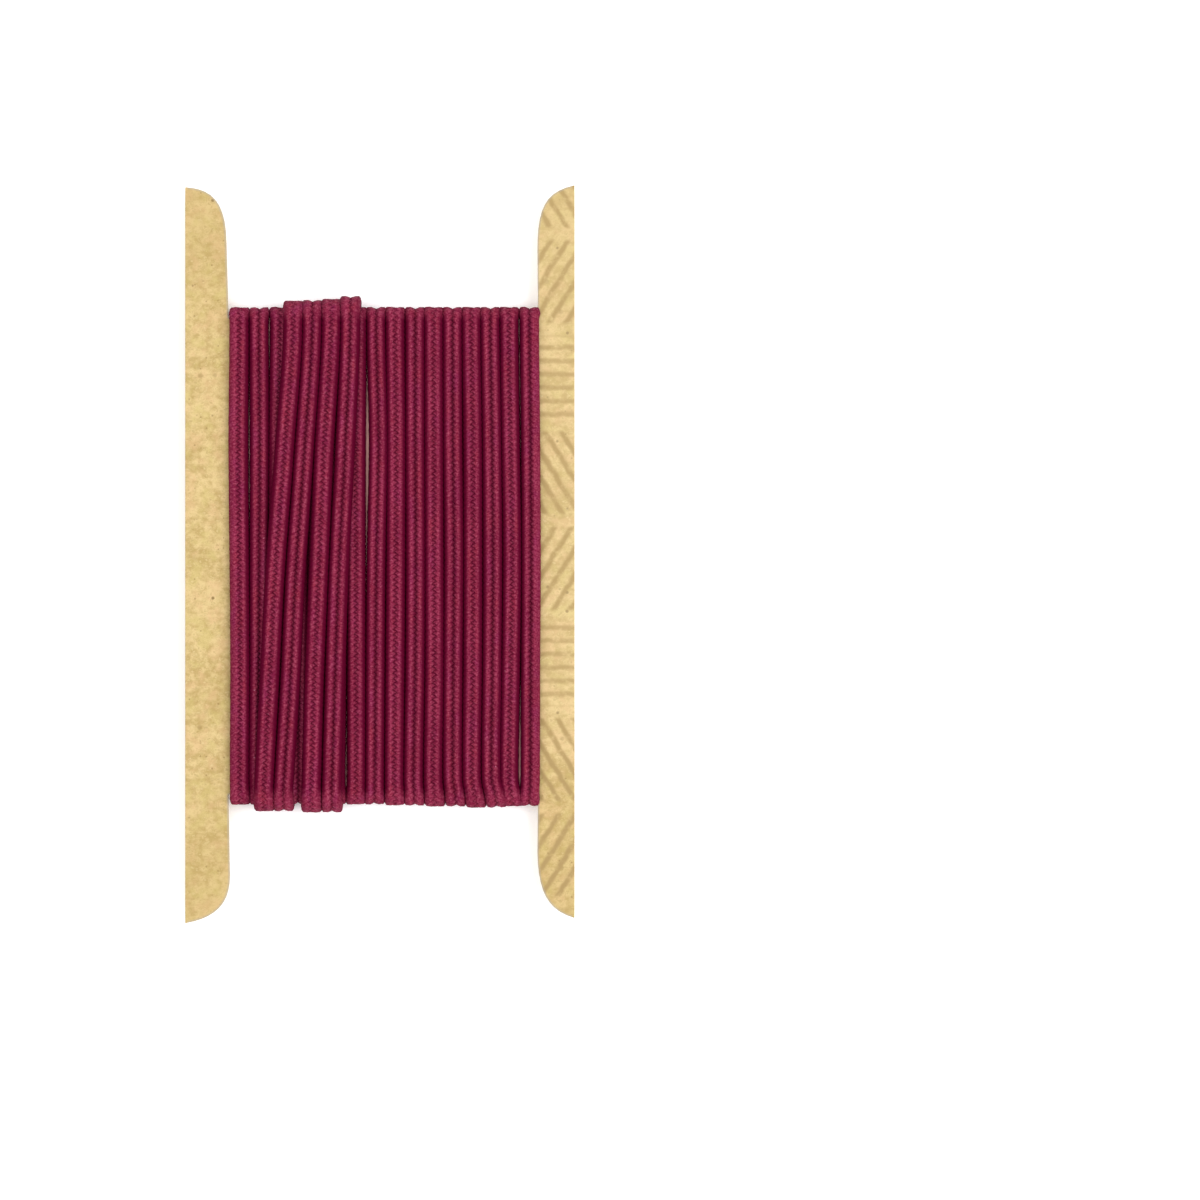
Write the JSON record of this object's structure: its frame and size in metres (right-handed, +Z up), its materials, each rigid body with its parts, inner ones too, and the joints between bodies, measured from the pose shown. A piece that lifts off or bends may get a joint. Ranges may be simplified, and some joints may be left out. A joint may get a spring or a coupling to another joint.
{
  "type": "card of soutache braid",
  "caption": "Flat two-ridged soutache braid wound doubled round the waist of an H-shaped kraft card, with slanting pairs of turns crossing over the upright ones.",
  "frame": {"origin": "middle of the card's outline, on the surface that it lies on", "axes": "+X across the card from flange to flange, +Y along the flanges and the turns of braid, +Z up out of the face that the picture shows"},
  "size_m": [0.0672, 0.1274, 0.0073],
  "materials": {
    "kraft_board": "matte",
    "soutache": "matte"
  },
  "bodies": {
    "root": {"card": "kraft_board", "braid_winding": "soutache"}
  },
  "joints": []
}
